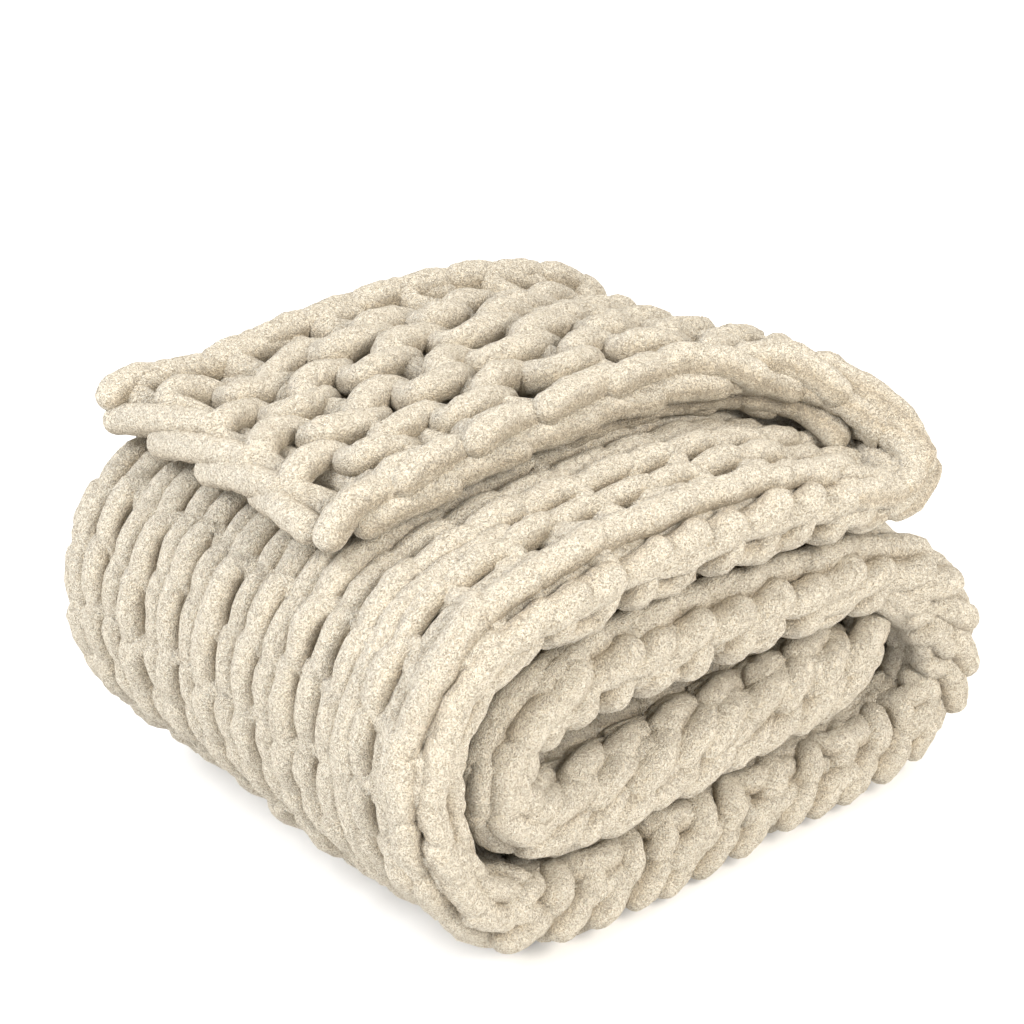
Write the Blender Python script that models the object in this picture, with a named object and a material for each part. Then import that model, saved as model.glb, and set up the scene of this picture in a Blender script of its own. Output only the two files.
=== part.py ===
"""A chunky knit blanket in cream chenille yarn, put away as a soft rolled bundle.

The blanket is doubled into a long strip and the strip is rolled up from one end.
Its last stretch, one layer thick, is laid back over the top as a loose flap.
It is one piece of knitting, so it is one solid: a strip whose thickness follows
its layers, carried along the line that the strip takes when seen from its end.
X runs across the bundle, Y along the roll, away from the coiled end, and Z is up.
"""

import math

import bpy
import numpy as np

# Driving sizes, in metres
ROLL_LENGTH = 0.380
FLAP_WIDTH = 0.265
ROPE_PITCH = 0.019
RIB_DEPTH = 0.0050
EDGE_ROUND = 0.026
FLOOR = 0.0

# The bundle has settled lower and broader at its far end, and leans a little to the left there.
# The big fold on the left holds its height: the lowering grows from LEFT_FOLD over LEFT_FOLD_REACH.
SETTLED_LOWER = 0.12
SETTLED_GROWTH = 1.5
SETTLED_BROADER = 0.055
SETTLED_LEFT = 0.012
LEAN_HEIGHT = 0.120
MIDDLE_X = 0.240
LEFT_FOLD = 0.020
LEFT_FOLD_REACH = 0.110

# The loose upper lobe has slumped on the right, some way behind the coiled end.
SLUMP = 0.065
SLUMP_X, SLUMP_Y = 0.430, 0.285
SLUMP_WIDE, SLUMP_LONG = 0.090, 0.070

# The ropes of yarn side by side between the rounded edges: outside, and inside where the flap shows them
OUTER_ROPES = round((ROLL_LENGTH - 2 * EDGE_ROUND) / ROPE_PITCH)
INNER_ROPES = round((FLAP_WIDTH - 2 * EDGE_ROUND) / ROPE_PITCH)

# How finely the rounded edges and the strip's turns are stepped
EDGE_POINTS = 5
DEGREES_A_STEP = 21.0
LONGEST_STEP = 0.060

# The turning loops along the flap's left edge
EDGE_LOOPS = 5
LOOP_REACH = 0.009

# The flap lies askew: at its far side its tip starts this much further along
TIP_SLANT = 0.022

# The strip's middle line seen from the coiled end, from the flap's tip to the coil's core.
# Columns: x, z, thickness, near edge (y), far edge (y), ribs outside (1 yes), ribs inside
STRIP = [
    # the flap, one layer thick, laid over the top
    (0.042, 0.285, 0.024, 0.122, 0.372, 0.3, 0.3),
    (0.067, 0.305, 0.026, 0.118, 0.374, 0.3, 1.0),
    (0.105, 0.318, 0.026, 0.115, 0.376, 0.3, 1.0),
    (0.180, 0.329, 0.026, 0.114, 0.377, 0.3, 1.0),
    (0.270, 0.331, 0.026, 0.113, 0.378, 0.3, 1.0),
    (0.345, 0.324, 0.026, 0.108, 0.378, 0.3, 1.0),
    # the upper lobe's right end, where the flap turns under
    (0.396, 0.311, 0.026, 0.094, 0.378, 0.3, 1.0),
    (0.428, 0.295, 0.026, 0.070, 0.378, 0.0, 1.0),
    (0.446, 0.275, 0.026, 0.044, 0.378, 0.0, 1.0),
    (0.449, 0.257, 0.028, 0.020, 0.378, 0.0, 1.0),
    (0.438, 0.242, 0.033, 0.008, 0.379, 0.0, 1.0),
    (0.414, 0.237, 0.041, 0.002, 0.380, 0.3, 0.6),
    # the top of the bundle, two layers from here on
    (0.372, 0.247, 0.055, 0.000, 0.380, 1.0, 0.0),
    (0.312, 0.261, 0.066, 0.000, 0.380, 1.0, 0.0),
    (0.220, 0.268, 0.070, 0.000, 0.380, 1.0, 0.0),
    (0.130, 0.263, 0.067, 0.002, 0.380, 1.0, 0.0),
    # the big fold on the left
    (0.076, 0.249, 0.060, 0.004, 0.380, 1.0, 0.0),
    (0.046, 0.224, 0.055, 0.004, 0.380, 1.0, 0.0),
    (0.030, 0.190, 0.053, 0.003, 0.380, 1.0, 0.0),
    (0.027, 0.153, 0.052, 0.002, 0.380, 1.0, 0.0),
    (0.035, 0.113, 0.050, 0.001, 0.380, 1.0, 0.0),
    (0.057, 0.075, 0.051, 0.000, 0.380, 1.0, 0.0),
    (0.093, 0.046, 0.055, 0.000, 0.380, 1.0, 0.0),
    # along the bottom, flat where it lies on the surface
    (0.143, 0.033, 0.060, 0.000, 0.380, 0.3, 0.0),
    (0.200, 0.031, 0.062, 0.000, 0.380, 0.0, 0.0),
    (0.300, 0.031, 0.062, 0.001, 0.380, 0.0, 0.0),
    (0.412, 0.031, 0.062, 0.001, 0.380, 0.0, 0.0),
    # the lower lobe's right end
    (0.455, 0.037, 0.062, 0.002, 0.380, 1.0, 0.0),
    (0.480, 0.057, 0.061, 0.002, 0.380, 1.0, 0.0),
    (0.487, 0.090, 0.060, 0.002, 0.380, 1.0, 0.0),
    (0.475, 0.124, 0.060, 0.002, 0.380, 1.0, 0.0),
    (0.446, 0.156, 0.060, 0.003, 0.380, 1.0, 0.0),
    (0.400, 0.177, 0.060, 0.003, 0.380, 1.0, 0.0),
    # back to the left under the top layer
    (0.320, 0.190, 0.062, 0.003, 0.380, 1.0, 0.0),
    (0.240, 0.195, 0.064, 0.004, 0.380, 1.0, 0.0),
    (0.160, 0.196, 0.060, 0.006, 0.380, 1.0, 0.0),
    # the small fold inside
    (0.115, 0.184, 0.055, 0.010, 0.378, 1.0, 0.0),
    (0.091, 0.160, 0.052, 0.010, 0.376, 1.0, 0.0),
    (0.087, 0.132, 0.050, 0.008, 0.376, 1.0, 0.0),
    (0.104, 0.108, 0.050, 0.006, 0.376, 1.0, 0.0),
    # the coil's core, which ends under the lobe
    (0.145, 0.098, 0.056, 0.004, 0.376, 0.6, 0.0),
    (0.220, 0.098, 0.060, 0.004, 0.376, 0.6, 0.0),
    (0.300, 0.100, 0.062, 0.005, 0.376, 0.6, 0.0),
    (0.360, 0.105, 0.060, 0.006, 0.376, 0.6, 0.0),
    (0.392, 0.110, 0.052, 0.008, 0.374, 0.3, 0.0),
]

CREAM = (0.72, 0.64, 0.51, 1.0)


def smooth_through(rows, i, t):
    """A Catmull-Rom curve through the rows: the value a share t of the way from row i to the next."""
    last = len(rows) - 1
    a, b, c, d = (rows[min(max(k, 0), last)] for k in (i - 1, i, i + 1, i + 2))
    return 0.5 * (
        2 * b
        + (c - a) * t
        + (2 * a - 5 * b + 4 * c - d) * t**2
        + (3 * b - a - 3 * c + d) * t**3
    )


def turning(rows, i):
    """Degrees that the middle line turns between the ends of stretch i."""
    before = rows[max(i, 1)] - rows[max(i, 1) - 1]
    after = rows[min(i + 2, len(rows) - 1)] - rows[min(i + 1, len(rows) - 2)]
    angle = math.atan2(after[1], after[0]) - math.atan2(before[1], before[0])
    return abs(math.degrees(math.remainder(angle, 2 * math.pi))) / 2


def stations():
    """The strip's sections, closer together where it turns, as rows like the table's."""
    rows = np.array(STRIP)
    found = []
    for i in range(len(rows) - 1):
        long = math.hypot(*(rows[i + 1] - rows[i])[:2])
        steps = max(1, round(turning(rows, i) / DEGREES_A_STEP), round(long / LONGEST_STEP))
        for k in range(steps):
            found.append(smooth_through(rows, i, k / steps))
    found.append(rows[-1])
    return np.array(found)


def ribs(count, strength):
    """A rise and a fall for each rope of yarn: raised at odd points, sunk at even ones."""
    return np.where(np.arange(count) % 2 == 1, 0.5, -0.5) * RIB_DEPTH * strength


def section(thick, near, far, ribs_out, ribs_in):
    """One section of the strip as (y, height over the middle line): out, far edge, in, near edge."""
    half = thick / 2
    round_y = min(EDGE_ROUND, (far - near) / 4)
    out_y = np.linspace(near + round_y, far - round_y, 2 * OUTER_ROPES + 1)
    in_y = np.linspace(far - round_y, near + round_y, 2 * INNER_ROPES + 1)
    turn = np.linspace(0, math.pi, EDGE_POINTS + 2)[1:-1]
    bulge = 1 + ribs(EDGE_POINTS, max(ribs_out, ribs_in)) / half
    far_edge = np.stack([far - round_y + round_y * np.sin(turn) * bulge, half * np.cos(turn) * bulge])
    near_edge = np.stack([near + round_y - round_y * np.sin(turn) * bulge, -half * np.cos(turn) * bulge])
    out = np.stack([out_y, half + ribs(len(out_y), ribs_out)])
    inside = np.stack([in_y, -half - ribs(len(in_y), ribs_in)])
    return np.concatenate([out, far_edge, inside, near_edge], axis=1)


def settle(points):
    """Lowers and broadens the bundle towards its far end, and flattens what lies on the surface."""
    x, y = points[:, 0].copy(), points[:, 1]
    away = y / ROLL_LENGTH
    across = np.clip((x - LEFT_FOLD) / LEFT_FOLD_REACH, 0, 1)
    across = across**2 * (3 - 2 * across)
    slump = SLUMP * np.exp(-(((x - SLUMP_X) / SLUMP_WIDE) ** 2) - ((y - SLUMP_Y) / SLUMP_LONG) ** 2)
    lean = SETTLED_LEFT * away * np.clip(points[:, 2] / LEAN_HEIGHT, 0, 1)
    points[:, 0] = MIDDLE_X + (x - MIDDLE_X) * (1 + SETTLED_BROADER * away) - lean
    points[:, 2] *= 1 - SETTLED_LOWER * away**SETTLED_GROWTH * across - slump
    points[:, 2] = np.maximum(points[:, 2], FLOOR)
    return points


def strip_points():
    """Every section's points in space: the middle line, plus the height along the line's normal."""
    rows = stations()
    along = np.gradient(rows[:, :2], axis=0)
    along /= np.linalg.norm(along, axis=1)[:, None]
    points = []
    for i, (x, z, thick, near, far, ribs_out, ribs_in) in enumerate(rows):
        y, height = section(thick, near, far, ribs_out, ribs_in)
        forward = np.zeros(len(y))
        if i == 0:
            share = (y - near) / (far - near)
            forward = TIP_SLANT * share - LOOP_REACH * np.abs(np.sin(share * EDGE_LOOPS * math.pi))
        px = x + along[i, 1] * height + along[i, 0] * forward
        pz = z - along[i, 0] * height + along[i, 1] * forward
        points.append(np.stack([px, y, pz], axis=1))
    return points


def knit_material():
    """Matt cream chenille."""
    material = bpy.data.materials.new("cream chenille")
    material.use_nodes = True
    shader = material.node_tree.nodes["Principled BSDF"]
    shader.inputs["Base Color"].default_value = CREAM
    shader.inputs["Roughness"].default_value = 0.95
    shader.inputs["Metallic"].default_value = 0.0
    return material


def blanket():
    """The whole blanket: quads between neighbouring sections, and a cap at each end of the strip."""
    loops = strip_points()
    around = len(loops[0])
    points = settle(np.concatenate(loops))
    low, high = points.min(axis=0), points.max(axis=0)
    points -= [(low[0] + high[0]) / 2, (low[1] + high[1]) / 2, low[2]]
    faces = []
    for i in range(len(loops) - 1):
        for k in range(around):
            a = i * around + k
            b = i * around + (k + 1) % around
            faces.append((a, b, b + around, a + around))
    last = (len(loops) - 1) * around
    faces.append(tuple(range(around))[::-1])
    faces.append(tuple(range(last, last + around)))
    mesh = bpy.data.meshes.new("blanket")
    mesh.from_pydata([tuple(p) for p in points], [], faces)
    mesh.materials.append(knit_material())
    mesh.shade_smooth()
    made = bpy.data.objects.new("blanket", mesh)
    bpy.context.collection.objects.link(made)
    return made


def main():
    for old in list(bpy.data.objects):
        bpy.data.objects.remove(old)
    blanket()


main()
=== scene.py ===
# %% [markdown]
# # A chunky knit blanket, rolled up
# This lesson knits a blanket row by row in Blender. The real one is cream chenille yarn as thick as
# a thumb, knitted on the hand, then doubled into a strip and rolled into a bundle. A cloth
# simulation can't show a knit this coarse, because the loops are the shape. So every row of loops
# is made as yarn: a tube that follows a formula along the rolled strip.

import math

import bpy
import numpy as np
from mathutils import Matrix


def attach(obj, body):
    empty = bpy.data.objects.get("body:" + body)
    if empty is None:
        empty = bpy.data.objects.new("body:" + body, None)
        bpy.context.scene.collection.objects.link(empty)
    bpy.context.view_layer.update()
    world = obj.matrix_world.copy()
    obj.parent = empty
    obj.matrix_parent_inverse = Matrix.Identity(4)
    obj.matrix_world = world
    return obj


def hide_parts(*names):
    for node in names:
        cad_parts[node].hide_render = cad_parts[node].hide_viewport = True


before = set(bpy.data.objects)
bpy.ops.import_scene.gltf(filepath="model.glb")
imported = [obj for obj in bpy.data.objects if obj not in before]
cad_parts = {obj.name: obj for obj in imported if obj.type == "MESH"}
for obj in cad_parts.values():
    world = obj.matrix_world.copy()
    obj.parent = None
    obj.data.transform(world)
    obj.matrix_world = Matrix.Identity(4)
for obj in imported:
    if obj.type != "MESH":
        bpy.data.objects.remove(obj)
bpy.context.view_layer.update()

# %% [markdown]
# ## The camera
# The photograph looks down on the roll's coiled end from the front left. A long lens, far away,
# gives the weak perspective of a product photograph. The direction is written as two angles, and
# the position follows from them, so the view can be turned later without new numbers.

# %% The camera
AIM = np.array([-0.0207, 0.0, 0.215])
TURN, TILT, DISTANCE = math.radians(-39.0), math.radians(29.5), 1.9
towards = np.array([math.sin(TURN) * math.cos(TILT), -math.cos(TURN) * math.cos(TILT), math.sin(TILT)])

lens = bpy.data.cameras.new("long lens")
lens.lens = 98.4
camera = bpy.data.objects.new("camera", lens)
camera.location = AIM + DISTANCE * towards
camera.rotation_euler = (math.pi / 2 - TILT, 0.0, TURN)
bpy.context.collection.objects.link(camera)
bpy.context.scene.camera = camera
print("camera at", [round(v, 3) for v in camera.location])

# %% [markdown]
# ## The strip seen from its end
# Rolled cloth is one long strip, so one line describes the whole bundle: where the middle of the
# strip runs when you look at the coiled end. Each row gives x, z, the thickness there, and where
# the near and far edges lie. The first 0.49 m is a flap of one layer over the top, and the rest is
# doubled. These are the same numbers that the solid was made from.

# %% The strip's rows
STRIP = np.array([
    (0.042, 0.285, 0.024, 0.122, 0.372), (0.067, 0.305, 0.026, 0.118, 0.374),
    (0.105, 0.318, 0.026, 0.115, 0.376), (0.180, 0.329, 0.026, 0.114, 0.377),
    (0.270, 0.331, 0.026, 0.113, 0.378), (0.345, 0.324, 0.026, 0.108, 0.378),
    (0.396, 0.311, 0.026, 0.094, 0.378), (0.428, 0.295, 0.026, 0.070, 0.378),
    (0.446, 0.275, 0.026, 0.044, 0.378), (0.449, 0.257, 0.028, 0.020, 0.378),
    (0.438, 0.242, 0.033, 0.008, 0.379), (0.414, 0.237, 0.041, 0.002, 0.380),
    (0.372, 0.247, 0.055, 0.000, 0.380), (0.312, 0.261, 0.066, 0.000, 0.380),
    (0.220, 0.268, 0.070, 0.000, 0.380), (0.130, 0.263, 0.067, 0.002, 0.380),
    (0.076, 0.249, 0.060, 0.004, 0.380), (0.046, 0.224, 0.055, 0.004, 0.380),
    (0.030, 0.190, 0.053, 0.003, 0.380), (0.027, 0.153, 0.052, 0.002, 0.380),
    (0.035, 0.113, 0.050, 0.001, 0.380), (0.057, 0.075, 0.051, 0.000, 0.380),
    (0.093, 0.046, 0.055, 0.000, 0.380), (0.143, 0.033, 0.060, 0.000, 0.380),
    (0.200, 0.031, 0.062, 0.000, 0.380), (0.300, 0.031, 0.062, 0.001, 0.380),
    (0.412, 0.031, 0.062, 0.001, 0.380), (0.455, 0.037, 0.062, 0.002, 0.380),
    (0.480, 0.057, 0.061, 0.002, 0.380), (0.487, 0.090, 0.060, 0.002, 0.380),
    (0.475, 0.124, 0.060, 0.002, 0.380), (0.446, 0.156, 0.060, 0.003, 0.380),
    (0.400, 0.177, 0.060, 0.003, 0.380), (0.320, 0.190, 0.062, 0.003, 0.380),
    (0.240, 0.195, 0.064, 0.004, 0.380), (0.160, 0.196, 0.060, 0.006, 0.380),
    (0.115, 0.184, 0.055, 0.010, 0.378), (0.091, 0.160, 0.052, 0.010, 0.376),
    (0.087, 0.132, 0.050, 0.008, 0.376), (0.104, 0.108, 0.050, 0.006, 0.376),
    (0.145, 0.098, 0.056, 0.004, 0.376), (0.220, 0.098, 0.060, 0.004, 0.376),
    (0.300, 0.100, 0.062, 0.005, 0.376), (0.360, 0.105, 0.060, 0.006, 0.376),
    (0.392, 0.110, 0.052, 0.008, 0.374),
])


def smooth_rows(rows, steps):
    """Catmull-Rom through the rows: half of (2b + (c-a)t + (2a-5b+4c-d)t2 + (3b-a-3c+d)t3)."""
    last = len(rows) - 1
    i = np.arange(last)
    a, b, c, d = rows[np.maximum(i - 1, 0)], rows[i], rows[i + 1], rows[np.minimum(i + 2, last)]
    t = np.linspace(0, 1, steps, endpoint=False)[:, None, None]
    curve = 2 * b + (c - a) * t + (2 * a - 5 * b + 4 * c - d) * t**2 + (3 * b - a - 3 * c + d) * t**3
    return np.concatenate([curve.transpose(1, 0, 2).reshape(-1, rows.shape[1]) / 2, rows[-1:]])


OVERHANG = 0.05
STEPS_A_ROW = 16
line = smooth_rows(STRIP, STEPS_A_ROW)
first, final = line[0] - line[1], line[-1] - line[-2]
line = np.concatenate([
    [line[0] + first * OVERHANG / math.hypot(*first[:2])], line,
    [line[-1] + final * OVERHANG / math.hypot(*final[:2])],
])
line[0, 2:], line[-1, 2:] = line[1, 2:], line[-2, 2:]
steps_along = np.linalg.norm(np.diff(line[:, :2], axis=0), axis=1)
length_at = np.concatenate([[0], np.cumsum(steps_along)]) - OVERHANG
heading = np.gradient(line[:, :2], length_at, axis=0)
heading /= np.linalg.norm(heading, axis=1)[:, None]
row_length = length_at[1:-1:STEPS_A_ROW]
STRIP_LENGTH = row_length[-1]
print("the strip is", round(STRIP_LENGTH, 3), "m long, and doubled from", round(row_length[11], 3), "m")

# %% [markdown]
# ## From flat knitting to the rolled bundle
# Knitting is easiest to write down flat: so far along the strip, so far across it, and so high off
# it. `place` bends such a point into the bundle. It looks up the line at that length, steps off
# along its normal, and then lets the bundle settle: its far end lies lower and broader and leans
# to the left, the big fold on the left holds its height, and the loose lobe has slumped a little.

# %% Place points in the bundle
ROLL_LENGTH, MIDDLE_X = 0.380, 0.240
SETTLED_LOWER, SETTLED_GROWTH, SETTLED_BROADER = 0.12, 1.5, 0.055
SETTLED_LEFT, LEAN_HEIGHT = 0.012, 0.120
LEFT_FOLD, LEFT_FOLD_REACH = 0.020, 0.110
SLUMP, SLUMP_X, SLUMP_Y, SLUMP_WIDE, SLUMP_LONG = 0.065, 0.430, 0.285, 0.090, 0.070
BOX_MIDDLE = np.array([0.250675, 0.190, 0.0])


def strip_at(s):
    """x, z, thickness, near and far edge and the two parts of the heading, at length s."""
    columns = np.concatenate([line, heading], axis=1)
    return [np.interp(s, length_at, columns[:, k]) for k in range(7)]


def place(s, y, off):
    """The point at length s, at y along the roll, off the middle line along its normal."""
    x, z, _, _, _, ahead_x, ahead_z = strip_at(s)
    px, pz = x + ahead_z * off, z - ahead_x * off
    away = np.maximum(y / ROLL_LENGTH, 0)
    across = np.clip((px - LEFT_FOLD) / LEFT_FOLD_REACH, 0, 1)
    across = across**2 * (3 - 2 * across)
    slump = SLUMP * np.exp(-(((px - SLUMP_X) / SLUMP_WIDE) ** 2) - ((y - SLUMP_Y) / SLUMP_LONG) ** 2)
    lean = SETTLED_LEFT * away * np.clip(pz / LEAN_HEIGHT, 0, 1)
    px = MIDDLE_X + (px - MIDDLE_X) * (1 + SETTLED_BROADER * away) - lean
    pz = pz * (1 - SETTLED_LOWER * away**SETTLED_GROWTH * across - slump)
    return np.stack([px, y, pz], axis=-1) - BOX_MIDDLE


print("the flap's tip is at", place(np.array(0.0), np.array(0.25), np.array(0.0)).round(3))

# %% [markdown]
# ## Round the doubled strip
# Where the strip is doubled, the rows of knitting run round it like hoops on a flattened tube. The
# middle of the fabric is a stadium: two straight sides and two half circles. `around` walks along
# that stadium from the near fold and says where it is and which way is out.

# %% Walk round the strip's section
FABRIC_HALF = 0.0145


def around(s, walk):
    """y, height off the middle line and turned angle, after walking along the stadium."""
    _, _, thick, near, far, _, _ = strip_at(s)
    radius = np.maximum(thick / 2 - FABRIC_HALF, 0.004)
    straight = far - near - 2 * FABRIC_HALF - 2 * radius
    quarter = radius * math.pi / 2
    whole = 2 * straight + 4 * quarter
    walk = walk % whole
    turn_1 = np.clip(walk, 0, quarter) / radius
    side_1 = np.clip(walk - quarter, 0, straight)
    turn_2 = np.clip(walk - quarter - straight, 0, 2 * quarter) / radius
    side_2 = np.clip(walk - 3 * quarter - straight, 0, straight)
    turn_3 = np.clip(walk - 3 * quarter - 2 * straight, 0, quarter) / radius
    y = near + FABRIC_HALF + radius * (1 - np.cos(turn_1) + np.sin(turn_2) - np.sin(turn_3))
    y = y + side_1 - side_2
    off = radius * (np.sin(turn_1) + np.cos(turn_2) - 1 + 1 - np.cos(turn_3))
    return y, off, turn_1 + turn_2 + turn_3, whole


print("round the strip:", around(np.array(1.0), np.array(0.0))[3].round(3), "m")

# %% [markdown]
# ## Uneven by hand
# No two loops of a hand knit are alike, and the pile of chenille is lumpy. Both come from smooth
# noise: fixed random numbers on a lattice, blended between the corners of each cell. It is seeded,
# so the blanket is the same every time.

# %% Smooth noise
LATTICE = np.random.default_rng(7).uniform(-1, 1, (32, 32, 32))


def noise(points, cell, shift=0.0):
    """From -1 to 1: lattice values blended with 3f2 - 2f3 along each axis in turn."""
    p = np.asarray(points) / cell + shift
    low = np.floor(p).astype(int)
    f = p - low
    f = f * f * (3 - 2 * f)
    lo, hi = low % 32, (low + 1) % 32
    total = 0.0
    for dx, dy, dz in np.ndindex(2, 2, 2):
        weight = (f if dx else 1 - f)[..., 0] * (f if dy else 1 - f)[..., 1] * (f if dz else 1 - f)[..., 2]
        corner = LATTICE[(hi if dx else lo)[..., 0], (hi if dy else lo)[..., 1], (hi if dz else lo)[..., 2]]
        total = total + weight * corner
    return total


print("noise at the origin:", round(float(noise(np.zeros(3), 0.01)), 3))

# %% [markdown]
# ## Yarn
# A tube needs a centre line, a direction that counts as outward, and a thickness. Rings of points
# are set round the line and joined by quads. The outward direction is the fabric's own, so the
# rings never twist. The ends are closed by a few shrinking rings, because chenille ends in a soft
# round tip.

# %% Make yarn
def unit(v):
    """v divided by its length."""
    return v / np.maximum(np.linalg.norm(v, axis=-1, keepdims=True), 1e-9)


TIP = np.array([0.0, 0.38, 0.70, 0.92, 1.0])


def yarn(centre, outward, radius, sides, lump=0.11):
    """Rings round each centre line: centre + r(cos a outward + sin a sideways), ends rounded off."""
    ahead = unit(np.gradient(centre, axis=-2))
    radius = np.asarray(radius, dtype=float)
    radius = radius[:, None] if radius.ndim == 1 else radius
    r = np.broadcast_to(radius, centre.shape[:-1])[..., None]
    reach = TIP[:0:-1]
    front = centre[..., :1, :] - ahead[..., :1, :] * r[..., :1, :] * reach[:, None]
    back = centre[..., -1:, :] + ahead[..., -1:, :] * r[..., -1:, :] * TIP[1:, None]
    shrink = np.sqrt(np.maximum(1 - reach**2, 0.002))[:, None]
    r = np.concatenate([r[..., :1, :] * shrink, r, r[..., -1:, :] * shrink[::-1]], axis=-2)
    pad = len(TIP) - 1
    centre = np.concatenate([front, centre, back], axis=-2)
    ahead = np.concatenate([ahead[..., :1, :]] * pad + [ahead] + [ahead[..., -1:, :]] * pad, axis=-2)
    outward = np.concatenate([outward[..., :1, :]] * pad + [outward] + [outward[..., -1:, :]] * pad, axis=-2)
    sideways = unit(np.cross(ahead, outward))
    outward = np.cross(sideways, ahead)
    angle = np.arange(sides) / sides * 2 * math.pi
    ring = outward[..., None, :] * np.cos(angle)[:, None] + sideways[..., None, :] * np.sin(angle)[:, None]
    base = centre[..., None, :] + ring * r[..., None, :]
    rough = lump * noise(base, 0.0085) + 0.5 * lump * noise(base, 0.0042, 5.3)
    return base + ring * r[..., None, :] * rough[..., None]


def piece(name, groups):
    """One mesh of all the tubes: quads between neighbouring rings and a cap on each end. Each point keeps
    how far it faces out of the knitting: |cos a|, 1 on top of a rope and 0 at its sides."""
    verts, facing, corners, sizes, start = [], [], [], [], 0
    for tubes in groups:
        tubes = tubes.reshape(-1, *tubes.shape[-3:])
        count, rings, sides = tubes.shape[:3]
        index = start + np.arange(count * rings * sides).reshape(count, rings, sides)
        beside = np.roll(index, -1, axis=2)
        quads = np.stack([index[:, :-1], beside[:, :-1], beside[:, 1:], index[:, 1:]], axis=-1)
        caps = np.concatenate([index[:, 0, ::-1], index[:, -1]])
        verts.append(tubes.reshape(-1, 3))
        facing.append(np.tile(np.abs(np.cos(np.arange(sides) / sides * 2 * math.pi)), count * rings))
        corners += [quads.ravel(), caps.ravel()]
        sizes += [np.full(quads.size // 4, 4), np.full(len(caps), sides)]
        start += count * rings * sides
    verts, corners, sizes = np.concatenate(verts), np.concatenate(corners), np.concatenate(sizes)
    verts[:, 2] = np.maximum(verts[:, 2], 0.0)
    mesh = bpy.data.meshes.new(name)
    mesh.vertices.add(len(verts))
    mesh.vertices.foreach_set("co", verts.ravel())
    mesh.loops.add(len(corners))
    mesh.loops.foreach_set("vertex_index", corners)
    mesh.polygons.add(len(sizes))
    mesh.polygons.foreach_set("loop_start", np.concatenate([[0], np.cumsum(sizes)[:-1]]))
    mesh.update(calc_edges=True)
    # The finish reads facing to paint shade into the colour on the sides of each rope.
    mesh.attributes.new("facing", "FLOAT", "POINT").data.foreach_set("value", np.concatenate(facing))
    mesh.validate()
    mesh.shade_smooth()
    made = bpy.data.objects.new(name, mesh)
    bpy.context.collection.objects.link(made)
    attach(made, "root")
    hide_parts("blanket")
    print(name, "has", int((sizes - 2).sum()), "triangles")
    return made


# %% [markdown]
# ## A row of loops
# Seen from its purl side, each row of loops swings from side to side. The arcs at each end of the
# swing come forward and the legs between them go behind. One formula gives this: the yarn moves
# along by t and a little extra twice a loop, sideways by cos t, and in and out by cos 2t. The swing
# equals the distance between rows, so the arcs of two rows meet on one line and read as a rope.

# %% Loops and sausages
def loops(starts, count, wale, swing, lean, lift, per_loop, crest=1.4, slant=0.0, tilt=0.0):
    """(s, sideways, out): s = wale t / 2pi + lean sin 2t, sideways = swing tanh(crest cos t) / tanh crest
    + slant sin 2t, out = lift cos 2t - tilt sin 2t."""
    t = np.linspace(-math.pi / 2, (count - 0.5) * 2 * math.pi, round(count * per_loop) + 1)
    s = np.asarray(starts, dtype=float)[:, None] + wale * t / (2 * math.pi) + lean * np.sin(2 * t)
    sideways = swing * np.tanh(crest * np.cos(t)) / math.tanh(crest) + slant * np.sin(2 * t) + 0 * s
    return s, sideways, lift * np.cos(2 * t) - tilt * np.sin(2 * t) + 0 * s


def sausages(centre, length, side=0, run=0, out=0, bow=0, tilt=0, curl=0, steps=14):
    """(s, sideways, out) of short lengths of yarn. With q from -1/2 to 1/2 along each, s = centre + length q,
    sideways = side + run q + curl cos(pi q), and out = out + bow (cos(pi q) - 0.4) - tilt q."""
    q = np.linspace(-0.5, 0.5, steps)
    bend = np.cos(math.pi * q)
    centre, length, side, run, out, bow, tilt, curl = [
        np.asarray(value, dtype=float).reshape(-1, 1)
        for value in (centre, length, side, run, out, bow, tilt, curl)
    ]
    s = centre + length * q
    return s, side + run * q + curl * bend + 0 * s, out + bow * (bend - 0.4) - tilt * q + 0 * s


def uneven(s, side, amount, shift, along=0.055, across=0.035):
    """Smooth noise over the flat fabric, so that neighbouring ropes sway together."""
    return amount * noise(np.stack([s / along, side / across, 0 * s], axis=-1), 1.0, shift)


def on_wrap(s, walk, out):
    """Centre line and outward direction of yarn on the doubled strip."""
    y, off, turned, _ = around(s, walk)
    ahead_x, ahead_z = strip_at(s)[5:]
    outward = np.stack([ahead_z * np.sin(turned), -np.cos(turned), -ahead_x * np.sin(turned)], axis=-1)
    return place(s, y - out * np.cos(turned), off + out * np.sin(turned)), outward


def on_flap(s, y, out):
    """Centre line and outward direction of yarn on the flap, whose inner side is the visible one."""
    ahead_x, ahead_z = strip_at(s)[5:]
    return place(s, y, -out), np.stack([-ahead_z, 0 * s, ahead_x], axis=-1)


def straight_start(s):
    """What to add to y to get the walk along the outer side."""
    thick, near = strip_at(s)[2:4]
    radius = np.maximum(thick / 2 - FABRIC_HALF, 0.004)
    return radius * (math.pi / 2 - 1) - near - FABRIC_HALF


def courses(lines):
    """Middle and swing of each row of loops, so that its arcs reach the lines on both sides of its own."""
    lines = np.asarray(lines)
    return (lines[2:] + lines[:-2]) / 2, (lines[2:] - lines[:-2])[:, None] / 2


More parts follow.
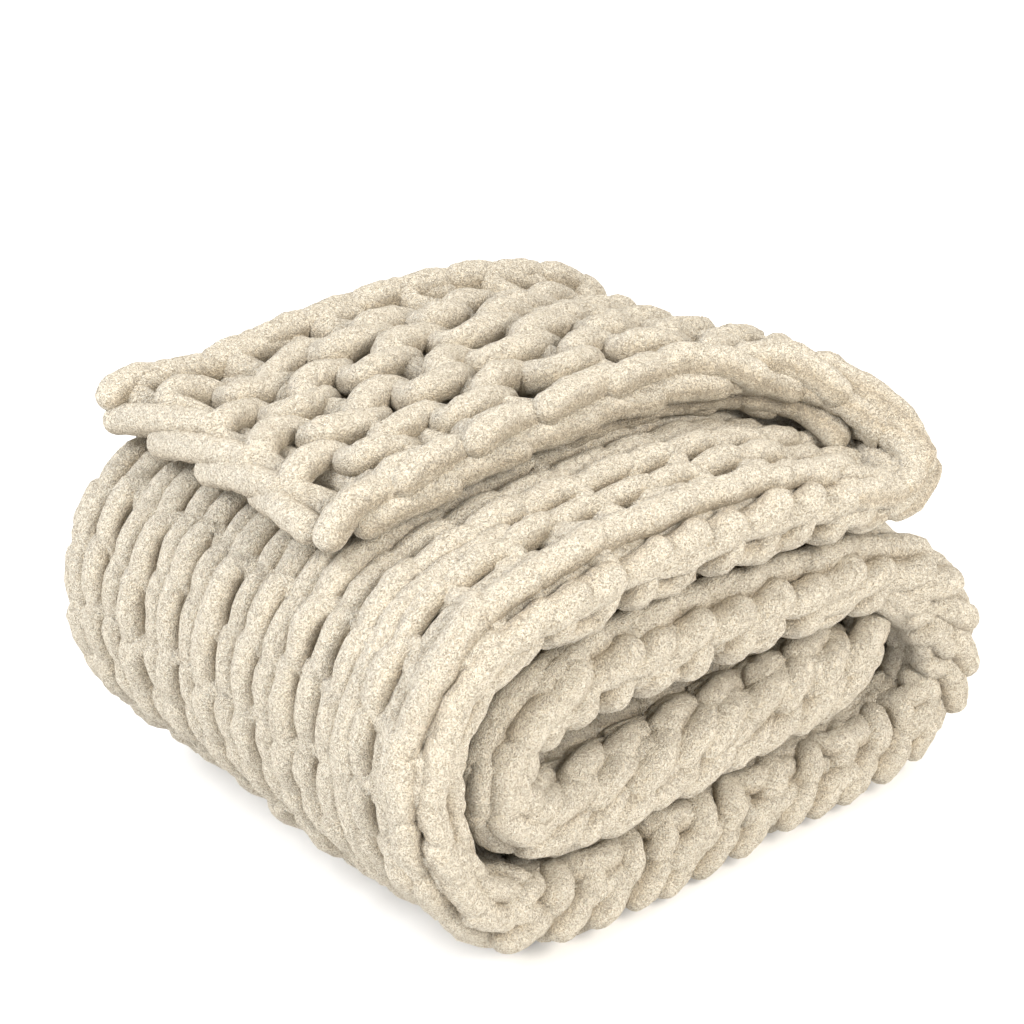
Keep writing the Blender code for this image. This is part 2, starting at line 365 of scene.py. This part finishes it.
def wrap_row(lines, start, count, wale, per_loop, sides, inside=False, lean=0.17, lift=0.0050, crest=1.5,
             fat=0.0102, pairs=0.0014, sway=0.0040, tilt=0.0034, shift=1.0):
    """Rows of loops round the doubled strip, every other one a little fatter and further out."""
    middle, swing = courses(lines)
    starts = start + 0 * middle
    s, sideways, out = loops(starts, count, wale, swing, lean * wale, lift, per_loop, crest, tilt=tilt)
    odd = np.arange(len(s))[:, None] % 2 - 0.5
    walk = middle[:, None] + sideways
    s = s + uneven(s, walk, 0.010, shift + 3.3, 0.07, 0.02)
    out = out + pairs * 2 * odd + uneven(s, walk, 0.0022, shift + 8.1)
    walk = walk + uneven(s, walk, sway, shift)
    radius = fat * (1 + 45 * odd * pairs + uneven(s, walk, 0.16, shift + 5.0, 0.022, 0.019))
    walk = walk + straight_start(s)
    walk = around(s, 0 * s)[3] - walk if inside else walk
    centre, outward = on_wrap(s, walk, out)
    return yarn(centre, outward, radius, sides)


# %% [markdown]
# ## Knit the wraps
# The doubled part has one set of rows on its outer side and one on its inner side. The outer rows
# near the coiled end are measured from the photograph, one line for each rope. Two plain ropes lie
# under the first rows, because there the knitting is pulled open and the next layer shows.

# %% Knit the wraps
DOUBLED = row_length[11] - 0.004
WALE = 0.076
ROPE_PITCH = 0.0203
lines_out = np.concatenate([[0.003, 0.028, 0.061, 0.087, 0.111], 0.1315 + ROPE_PITCH * np.arange(14)])
lines_in = np.concatenate([[0.003, 0.024], 0.045 + 0.0205 * np.arange(17)])
outside_loops = 12
all_loops = int((STRIP_LENGTH - DOUBLED) / WALE)
start = DOUBLED + WALE / 4
wrap_rows = piece("wrap_rows", [wrap_row(lines_out, start, outside_loops, WALE, 34, 12)])
coil_rows = piece("coil_rows", [
    wrap_row(lines_out, start + outside_loops * WALE, all_loops - outside_loops, WALE, 18, 8),
    wrap_row(lines_in, start, all_loops, WALE, 15, 8, inside=True, shift=21.0),
])


# %% [markdown]
# ## The two folded edges
# Where the rows turn round the strip's edge, one smooth rope marks the corner. Below it the loops
# stand in a chain, each head lying over the tail of the next, and fat legs hang from them. All are
# short lengths of yarn laid round the edge at an angle. On the big left fold the cloth is stretched,
# so heads and legs lie along it as calm ropes. Inside the coil they are thicker, and half as calm.

# %% Knit the two folded edges
def on_rim(s, angle, side, out, far=False):
    """Yarn on the strip's folded edge, at an angle from its tip, positive towards the outer side."""
    thick, near, away = strip_at(s)[2:5]
    radius = np.maximum(thick / 2 - FABRIC_HALF, 0.004)
    turned = np.radians(angle) + side / (radius + 0.006)
    y = near + FABRIC_HALF + radius - (radius + out) * np.cos(turned)
    y = away + near - y if far else y
    ahead_x, ahead_z = strip_at(s)[5:]
    facing = np.cos(turned) if far else -np.cos(turned)
    outward = np.stack([ahead_z * np.sin(turned), facing, -ahead_x * np.sin(turned)], axis=-1)
    return place(s, y, (radius + out) * np.sin(turned)), outward


def rim(angle, fat, far=False, sides=16, **shape):
    """Short lengths of yarn laid on a folded edge."""
    s, side, out = sausages(**shape)
    where, outward = on_rim(s, angle, side, out, far)
    return yarn(where, outward, fat, sides)


def spaced(first, pitch, last=STRIP_LENGTH):
    """Lengths along the strip, a pitch apart."""
    return np.arange(first, last, pitch)


def hump(s, low, high, soft):
    """From 0 to 1 and back, with smooth shoulders outside low and high."""
    t = np.clip(np.minimum(s - low, high - s) / soft + 1, 0, 1)
    return t * t * (3 - 2 * t)


HEAD_PITCH = 0.0330
heads = spaced(DOUBLED + 0.012, HEAD_PITCH)
legs = heads + HEAD_PITCH / 2
calm = (hump(heads, row_length[16], row_length[21], 0.06)
        + 0.6 * hump(heads, row_length[37], STRIP_LENGTH + 1, 0.05))
deep = hump(heads, row_length[33], STRIP_LENGTH + 1, 0.10)
ropes = spaced(DOUBLED + 0.010, 0.040)
under = spaced(DOUBLED + 0.030, 0.078, STRIP_LENGTH - 0.045)
shake = np.random.default_rng(11).uniform(-1, 1, (8, len(heads)))


def edge(far, sides, shift):
    """The corner rope, the chain of heads, the legs below it and two plain ropes underneath."""
    a, b, c, d = np.roll(shake, shift, axis=0)[:4]
    return [
        rim(74, 0.0104, far, sides, centre=ropes, length=0.046, run=0.004, out=0.003, bow=0.002,
            tilt=0.0060, steps=20),
        rim(12, 0.0113 + 0.0012 * deep - 0.0015 * calm + 0.0010 * a, far, sides, centre=heads + 0.005 * b,
            length=0.034 + 0.018 * calm + 0.004 * c, side=0.0028 * c, run=-0.012 + 0.010 * calm + 0.004 * d,
            out=0.002 + 0.004 * calm, bow=0.0030, tilt=0.0180 - 0.0140 * calm, curl=-0.001, steps=16),
        rim(-46, 0.0110 + 0.0014 * deep - 0.0014 * calm + 0.0010 * c, far, sides, centre=legs + 0.005 * d,
            length=0.013 + 0.035 * calm, side=0.002 * a, run=-0.026 + 0.022 * calm + 0.005 * b,
            out=0.001 + 0.003 * deep + 0.004 * calm, bow=0.006 - 0.003 * calm,
            tilt=-0.006 + 0.009 * calm, steps=16),
        rim(-108, 0.0104, far, 10, centre=under, length=0.105, run=0.003, out=0.0, bow=0.0035, steps=24),
        rim(40, 0.0094, far, 10, centre=under, length=0.105, run=0.003, out=-0.008, bow=0.002, steps=24),
    ]


core = spaced(row_length[39] + 0.02, 0.042)
core_shake = shake[4:, :len(core)]
near_rows = piece("near_edge_rows", edge(False, 16, 0) + [
    rim(-94, 0.0125 + 0.001 * core_shake[0], centre=core, length=0.034 + 0.008 * core_shake[3],
        side=0.002 * core_shake[1], run=-0.012, out=0.005 + 0.002 * core_shake[2], bow=0.004,
        tilt=0.009, steps=20),
])
far_rows = piece("far_edge_rows", edge(True, 12, 2))

# %% [markdown]
# ## Close the pulled-open rows
# Between the first two ropes of the top, dark slots show where the legs cross. A rope lies deep
# below them, so that the slots end on yarn, and another closes the next gap. Three ropes along the
# roll close the strip's end inside the coil.

# %% Fill below the first ropes
def fill(across, out, fat):
    """Long plain ropes under the outer rows, closer to them on the big fold."""
    raised = 0.013 * hump(under, row_length[15], row_length[22], 0.04)
    s, walk, off = sausages(under, 0.110, across, 0.002, out + raised, 0.002, steps=26)
    centre, outward = on_wrap(s, walk + straight_start(s), off)
    return yarn(centre, outward, fat, 10)


end_y = np.linspace(0.030, 0.362, 60) * np.ones((3, 1))
end_s = STRIP_LENGTH + np.array([[-0.004], [0.006], [-0.004]]) + 0 * end_y
end_off = np.array([[-0.017], [0.0], [0.017]]) + 0 * end_y
end_out = np.stack([end_off * 50, 0 * end_y, 0.4 + 0 * end_y], axis=-1)
fill_rows = piece("fill_rows", [
    fill(0.045, -0.016, 0.0090), fill(0.073, -0.009, 0.0105),
    yarn(place(end_s, end_y, end_off), unit(end_out), 0.0115, 12),
])

# %% [markdown]
# ## The flap
# The flap lies loose, so its rows are wider apart: the purl side shows as fat arcs that hook into
# each other and lean to one side. Each row swings by three quarters of a row, so its arcs lie half
# a row from its neighbour's. Where the flap turns under, its near edge comes forward and shorter
# rows fill the lobe.

# %% Knit the flap
FLAP_WALE = 0.074
TIP_SLANT = 0.022
FLAP_ROW = 0.048


def flap_row(ys, starts, count, per_loop, sides, shift=2.0, fat=0.0116):
    """Rows of loops on the one-layer flap. They swing by 3/4 of a row, so the arcs lie half a row apart."""
    s, sideways, out = loops(starts, count, FLAP_WALE, 0.75 * FLAP_ROW, 0.19 * FLAP_WALE, 0.0062, per_loop,
                             crest=1.1, slant=0.0045, tilt=0.0050)
    y = np.asarray(ys)[:, None] + sideways
    s = s + uneven(s, y, 0.014, shift + 3.3, 0.06, 0.035)
    out = out + uneven(s, y, 0.0030, shift + 8.1)
    y = y + uneven(s, y, 0.007, shift)
    radius = fat * (1 + uneven(s, y, 0.14, shift + 5.0, 0.03, 0.02))
    near, far = strip_at(s)[3:5]
    y = np.clip(y, near + 0.015, far - 0.008)
    centre, outward = on_flap(s, y, out)
    return yarn(centre, outward, radius, sides)


flap_y = 0.150 + FLAP_ROW * np.arange(5)
flap_start = 0.022 + TIP_SLANT * (flap_y - 0.12) / 0.25 + FLAP_WALE / 4
flap_loops = math.ceil((DOUBLED + 0.03 - flap_start[0]) / FLAP_WALE)
lobe_y = 0.150 - FLAP_ROW * np.arange(1, 4)
lobe_loops = [3, 2, 2]
flap_rows = piece("flap_rows", [flap_row(flap_y, flap_start, flap_loops, 36, 14)] + [
    flap_row([y], [flap_start[0] + (flap_loops - count) * FLAP_WALE], count, 36, 12)
    for y, count in zip(lobe_y, lobe_loops)
])

# %% [markdown]
# ## The flap's edges
# Along its tip the flap ends in four long loops, each lying over the next. A chain of fat double
# loops runs along its near edge, round the lobe and under, and short ropes close the lobe's hollow.
# Three plain ropes lie across the flap below its loops. A plainer chain closes the far edge.

# %% The flap's edges
def flap_yarn(fat, edge_y=None, sides=16, **shape):
    """Short lengths of yarn on the flap's visible side, at y or at so far in from an edge."""
    s, y, out = sausages(**shape)
    y = y if edge_y is None else y + np.interp(s, length_at, line[:, edge_y])
    where, outward = on_flap(s, y, out)
    return yarn(where, outward, fat, sides)


NEAR, FAR = 3, 4
link_y = np.array([0.318, 0.268, 0.222, 0.176])
link_s = 0.004 + TIP_SLANT * (link_y - 0.12) / 0.25
chain = spaced(0.034, 0.056, DOUBLED + 0.03)
turn = hump(chain, row_length[5], row_length[9], 0.03)
under_lobe = spaced(row_length[4], 0.050, row_length[8])
far_chain = spaced(0.040, 0.040, DOUBLED + 0.03)
flap_edges = piece("flap_edges", [
    flap_yarn(0.0104, centre=link_s, length=[0.026, 0.016, 0.010, -0.006], side=link_y,
              run=[-0.085, -0.085, -0.072, -0.060], out=0.004, bow=0.004, tilt=-0.010, steps=26),
    flap_yarn(0.0100, centre=[0.020], length=[0.010], side=[0.352], run=[-0.040], out=[-0.010], steps=16),
    flap_yarn(0.0095, centre=[0.048, 0.080, 0.112], length=0.018, side=0.245, run=-0.225, out=-0.008,
              steps=40),
    flap_yarn(0.0112 + 0.0008 * turn, NEAR, centre=chain, length=0.050, side=0.012 - 0.003 * turn,
              run=0.010 - 0.026 * turn, out=0.005 - 0.004 * turn, bow=0.005, tilt=0.008, steps=26),
    flap_yarn(0.0106, NEAR, centre=chain + 0.028, length=0.060, side=0.007, run=-0.004, out=-0.010, bow=0.001,
              tilt=0.003, steps=26),
    flap_yarn(0.0100, NEAR, centre=chain + 0.020, length=0.080, side=0.022, run=0.0, out=-0.006, bow=0.0,
              tilt=0.0, steps=26),
    flap_yarn(0.0112, NEAR, centre=under_lobe, length=0.070, side=0.020, run=0.006, out=-0.025, bow=0.003,
              tilt=0.006, steps=26),
    flap_yarn(0.0116, FAR, centre=far_chain, length=0.040, side=-0.004, run=0.006, out=0.008, bow=0.002,
              tilt=0.005, steps=16),
])

# %% [markdown]
# ## The finish
# Chenille is a core thread with a short dense pile round it. Fine noise makes the pile, in colour
# and in bump. A wider noise crosses its middle value along curly lines, and those make the dark
# partings of the pile. The `facing` attribute paints shade into the colour on the sides of each
# rope, where shade falls between ropes. The loops' shape stays in the mesh, because bump alone
# would give flat outlines.

# %% Chenille
def chenille():
    """Cream chenille: fine pile, darker in its partings, with painted shade on the sides of each rope."""
    material = bpy.data.materials.new("cream chenille")
    material.use_nodes = True
    nodes, links = material.node_tree.nodes, material.node_tree.links
    shader = nodes["Principled BSDF"]
    shader.inputs["Roughness"].default_value = 0.95
    shader.inputs["Sheen Weight"].default_value = 0.30
    shader.inputs["Sheen Roughness"].default_value = 0.5
    shader.inputs["Specular IOR Level"].default_value = 0.15
    where = nodes.new("ShaderNodeTexCoord")

    def texture(kind, scale, output, **settings):
        """An output of a texture on the object's own coordinates."""
        made = nodes.new(kind)
        made.inputs["Scale"].default_value = scale
        for name, value in settings.items():
            made.inputs[name].default_value = value
        links.new(where.outputs["Object"], made.inputs["Vector"])
        return made.outputs[output]

    def band(value, low, high):
        """0 at low and under, 1 at high and over."""
        ramp = nodes.new("ShaderNodeMapRange")
        ramp.inputs["From Min"].default_value = low
        ramp.inputs["From Max"].default_value = high
        links.new(value, ramp.inputs["Value"])
        return ramp.outputs["Result"]

    def math_node(kind, first, second):
        """Two values put together."""
        made = nodes.new("ShaderNodeMath")
        made.operation = kind
        for socket, value in zip(made.inputs, (first, second)):
            if isinstance(value, float):
                socket.default_value = value
            else:
                links.new(value, socket)
        return made.outputs["Value"]

    # Painted shade: the colour darkens towards the sides of each rope, where shade falls between ropes.
    facing = nodes.new("ShaderNodeAttribute")
    facing.attribute_name = "facing"
    top = band(facing.outputs["Fac"], 0.0, 0.75)
    pile = texture("ShaderNodeTexNoise", 900.0, "Fac", Detail=2.0, Roughness=0.75)
    folds = texture("ShaderNodeTexNoise", 240.0, "Fac", Detail=3.0, Roughness=0.65, Distortion=1.0)
    ridge = math_node("ABSOLUTE", math_node("SUBTRACT", folds, 0.5), 0.0)
    closed = band(ridge, 0.0, 0.032)
    height = math_node("ADD", math_node("MULTIPLY", closed, 0.35), pile)
    # Painted shade factor: 1 on top of a rope, 0.45 at its sides.
    painted_side_shade = math_node("ADD", math_node("MULTIPLY", top, 0.55), 0.45)
    parted = math_node("ADD", math_node("MULTIPLY", closed, 0.7), 0.3)
    shade = math_node("MULTIPLY", band(pile, 0.28, 0.62), math_node("MULTIPLY", painted_side_shade, parted))
    tint = nodes.new("ShaderNodeValToRGB")
    tint.color_ramp.elements[0].position = 0.0
    tint.color_ramp.elements[0].color = (0.38, 0.27, 0.145, 1.0)
    tint.color_ramp.elements[1].position = 0.95
    tint.color_ramp.elements[1].color = (1.0, 0.93, 0.78, 1.0)
    middle = tint.color_ramp.elements.new(0.5)
    middle.color = (0.86, 0.75, 0.57, 1.0)
    links.new(shade, tint.inputs["Fac"])
    links.new(tint.outputs["Color"], shader.inputs["Base Color"])
    bump = nodes.new("ShaderNodeBump")
    bump.inputs["Strength"].default_value = 1.0
    bump.inputs["Distance"].default_value = 0.0050
    links.new(height, bump.inputs["Height"])
    links.new(bump.outputs["Normal"], shader.inputs["Normal"])
    return material


finish = chenille()
for made in (wrap_rows, near_rows, coil_rows, far_rows, fill_rows, flap_rows, flap_edges):
    made.data.materials.append(finish)
print("finish on", finish.users, "pieces")

# %% [markdown]
# ## Floor and light
# A white floor and a bright white room make the nearly shadowless background of a catalogue
# photograph. A soft light high on the left gives the ropes a lit side and a shaded side, and a warm
# one in front lifts the coiled end.

# %% Floor and light
floor_mesh = bpy.data.meshes.new("floor")
floor_mesh.from_pydata([(-6, -6, 0), (6, -6, 0), (6, 6, 0), (-6, 6, 0)], [], [(0, 1, 2, 3)])
floor = bpy.data.objects.new("floor", floor_mesh)
bpy.context.collection.objects.link(floor)
pale = bpy.data.materials.new("pale floor")
pale.use_nodes = True
paint = pale.node_tree.nodes["Principled BSDF"]
paint.inputs["Base Color"].default_value = (0.80, 0.80, 0.80, 1.0)
paint.inputs["Roughness"].default_value = 0.9
paint.inputs["Emission Color"].default_value = (1.0, 1.0, 1.0, 1.0)
paint.inputs["Emission Strength"].default_value = 0.15
floor_mesh.materials.append(pale)

world = bpy.data.worlds.new("studio")
world.use_nodes = True
room = world.node_tree.nodes["Background"]
room.inputs["Color"].default_value = (1.0, 1.0, 1.0, 1.0)
room.inputs["Strength"].default_value = 1.08
bpy.context.scene.world = world
bpy.context.scene.view_settings.view_transform = "Standard"


def softbox(name, place_at, size, watts, tone=(1.0, 1.0, 1.0)):
    """A square area light that points at the blanket."""
    light = bpy.data.lights.new(name, "AREA")
    light.size = size
    light.energy = watts
    light.color = tone
    lamp = bpy.data.objects.new(name, light)
    lamp.location = place_at
    away = AIM - np.array(place_at)
    tilted = math.acos(-away[2] / np.linalg.norm(away))
    lamp.rotation_euler = (tilted, 0.0, math.atan2(away[0], -away[1]) + math.pi)
    bpy.context.collection.objects.link(lamp)
    return lamp


softbox("key", (-1.8, 0.3, 2.0), 0.9, 56)
softbox("front fill", (0.5, -2.3, 2.0), 1.2, 78, (1.0, 0.94, 0.84))
print("lit by", len(bpy.data.lights), "soft lights and the room")
